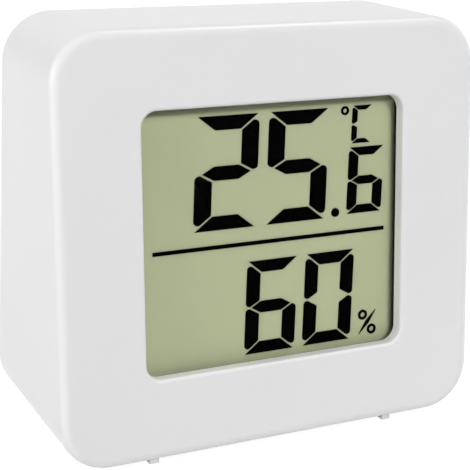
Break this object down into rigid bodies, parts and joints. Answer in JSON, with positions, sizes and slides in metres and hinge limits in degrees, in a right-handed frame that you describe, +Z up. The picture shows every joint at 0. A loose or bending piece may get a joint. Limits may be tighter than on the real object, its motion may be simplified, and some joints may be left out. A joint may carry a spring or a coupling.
{
  "type": "digital thermo-hygrometer",
  "caption": "Small free-standing room thermometer and hygrometer: rounded white wedge-shaped housing, recessed segment display, quarter-turn battery door and push button at the back.",
  "frame": {"origin": "middle of the footprint, on the surface that the foot rails stand on", "axes": "+Z up, +X to the right as seen from the display, -Y the way the display faces"},
  "size_m": [0.043, 0.0212, 0.0396],
  "materials": {
    "housing_white": "satin",
    "cover_white": "satin",
    "door_white": "satin",
    "button_white": "satin",
    "inner_plastic": "natural",
    "switch_black": "matt",
    "screw_steel": "plated",
    "contact_steel": "nickel plated",
    "cell_steel": "nickel plated",
    "display_film": "clear, low sheen",
    "display_glass": "clear",
    "display_ground": "olive reflecting film seen through glass",
    "display_foil": "matt foil",
    "display_mark": "dark liquid crystal",
    "edge_seal": "dark resin",
    "zebra_rubber": "matt",
    "board_green": "solder mask",
    "resin_black": "poured resin",
    "sensor_case": "matt",
    "bead_resin": "dipped resin",
    "crystal_can": "drawn can",
    "capacitor_body": "ceramic",
    "resistor_body": "ceramic"
  },
  "bodies": {
    "case": {"front_housing": "housing_white", "foot_rails": "housing_white", "rear_cover": "cover_white", "cover_screws": "screw_steel", "coin_cell": "cell_steel", "positive_contact": "contact_steel", "negative_contact": "contact_steel", "switch_body": "switch_black", "circuit_board": "board_green", "board_screws": "screw_steel", "lcd_holder": "inner_plastic", "lcd_front_polariser": "display_film", "lcd_front_glass": "display_glass", "lcd_edge_seal": "edge_seal", "temperature_digits": "display_mark", "unit_mark": "display_mark", "divider_line": "display_mark", "humidity_digits": "display_mark", "lcd_rear_glass": "display_ground", "lcd_reflector": "display_foil", "zebra_strip": "zebra_rubber", "controller_blob": "resin_black", "humidity_sensor": "sensor_case", "thermistor": "bead_resin", "clock_crystal": "crystal_can", "chip_capacitors": "capacitor_body", "chip_resistors": "resistor_body"},
    "door": {"battery_door": "door_white"},
    "button": {"unit_button": "button_white", "switch_plunger": "switch_black"}
  },
  "joints": [
    {"name": "battery_door_turn", "type": "hinge", "parent": "case", "child": "door", "pos_m": [0, 0.00884, 0.01811], "axis": [0, 0.9947, 0.1027], "range_deg": [0, 40]},
    {"name": "unit_button_press", "type": "slide", "parent": "case", "child": "button", "axis": [0, -0.9947, -0.1027], "range_m": [0, 0.0004], "stiffness_N_per_m": 900}
  ]
}
